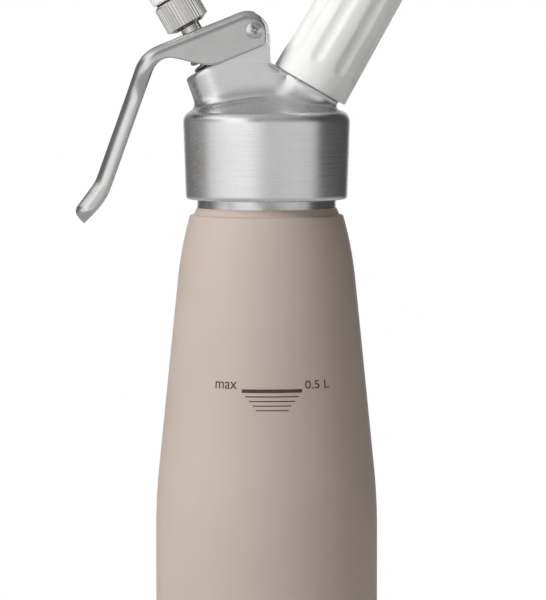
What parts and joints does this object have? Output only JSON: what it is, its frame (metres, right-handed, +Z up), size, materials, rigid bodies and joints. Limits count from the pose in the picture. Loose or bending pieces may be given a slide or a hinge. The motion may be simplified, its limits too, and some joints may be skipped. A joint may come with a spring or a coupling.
{
  "type": "whipped cream dispenser",
  "caption": "Hand-held whipped cream dispenser: tall tapered pressure bottle, screw-on metal head, squeeze lever, tilted dispensing valve with nozzle, and a fluted gas charger holder.",
  "frame": {"origin": "centre of the bottle's foot ring, on the surface that it stands on", "axes": "+Z up along the bottle's axis, -X towards the lever and nozzle, +X towards the charger holder, -Y is the side with the fill mark"},
  "size_m": [0.1323, 0.08, 0.2998],
  "materials": {
    "lacquer": "matte lacquered",
    "cast_aluminium": "satin bead blasted",
    "machined_steel": "turned",
    "bright_steel": "polished",
    "brass": "turned",
    "black_rubber": "matte",
    "silicone": "matte",
    "acetal": "moulded",
    "white_plastic": "moulded satin",
    "clear_white_plastic": "moulded"
  },
  "bodies": {
    "bottle": {"bottle": "lacquer"},
    "gasket_carrier": {"head_gasket": "silicone"},
    "head": {"head_casting": "cast_aluminium", "guide_bush": "acetal", "stem_o_ring": "black_rubber", "pivot_sleeve": "bright_steel", "pivot_screw": "bright_steel", "piercing_body": "brass", "piercing_needle": "machined_steel", "check_valve": "black_rubber", "charger_seal": "black_rubber", "return_spring": "machined_steel"},
    "lever": {"lever": "cast_aluminium"},
    "valve_stem": {"valve_stem": "machined_steel", "poppet_gasket": "black_rubber", "poppet_plug": "machined_steel", "push_collar": "machined_steel", "retaining_clip": "machined_steel", "nozzle_adapter": "bright_steel"},
    "nozzle_seal": {"adapter_seal": "black_rubber"},
    "nozzle": {"nozzle": "clear_white_plastic"},
    "gas_charger": {"gas_charger": "machined_steel"},
    "charger_holder": {"charger_holder": "white_plastic", "holder_insert": "machined_steel"}
  },
  "joints": [
    {"name": "head_turn", "type": "hinge", "parent": "gasket_carrier", "child": "head", "pos_m": [0, 0, 0.2], "axis": [0, 0, 1], "range_deg": [0, 1080]},
    {"name": "head_lift", "type": "slide", "parent": "bottle", "child": "gasket_carrier", "axis": [0, 0, 1], "range_m": [0, 0.01051]},
    {"name": "lever_squeeze", "type": "hinge", "parent": "head", "child": "lever", "pos_m": [-0.00427, 0, 0.24769], "axis": [0, -1, 0], "range_deg": [0, 10], "stiffness_Nm_per_rad": 1.2, "springref_deg": -9.74, "deforming": ["return_spring"]},
    {"name": "valve_press", "type": "slide", "parent": "head", "child": "valve_stem", "axis": [0.5, 0, -0.866], "range_m": [0, 0.0035]},
    {"name": "nozzle_turn", "type": "hinge", "parent": "nozzle_seal", "child": "nozzle", "pos_m": [-0.0342, 0, 0.26044], "axis": [-0.5, 0, 0.866], "range_deg": [0, 2160]},
    {"name": "nozzle_lift", "type": "slide", "parent": "valve_stem", "child": "nozzle_seal", "axis": [-0.5, 0, 0.866], "range_m": [0, 0.00901]},
    {"name": "holder_turn", "type": "hinge", "parent": "gas_charger", "child": "charger_holder", "pos_m": [0.01675, 0, 0.23021], "axis": [0.5, 0, 0.866], "range_deg": [0, 2880]},
    {"name": "holder_lift", "type": "slide", "parent": "head", "child": "gas_charger", "axis": [0.5, 0, 0.866], "range_m": [0, 0.01201]}
  ],
  "couplings": [
    {"joint": "head_lift", "follows": "head_turn", "m_per_rad": 0.00055704},
    {"joint": "valve_press", "follows": "lever_squeeze", "m_per_rad": 0.01955},
    {"joint": "nozzle_lift", "follows": "nozzle_turn", "m_per_rad": 0.00023873},
    {"joint": "holder_lift", "follows": "holder_turn", "m_per_rad": 0.00023873}
  ]
}
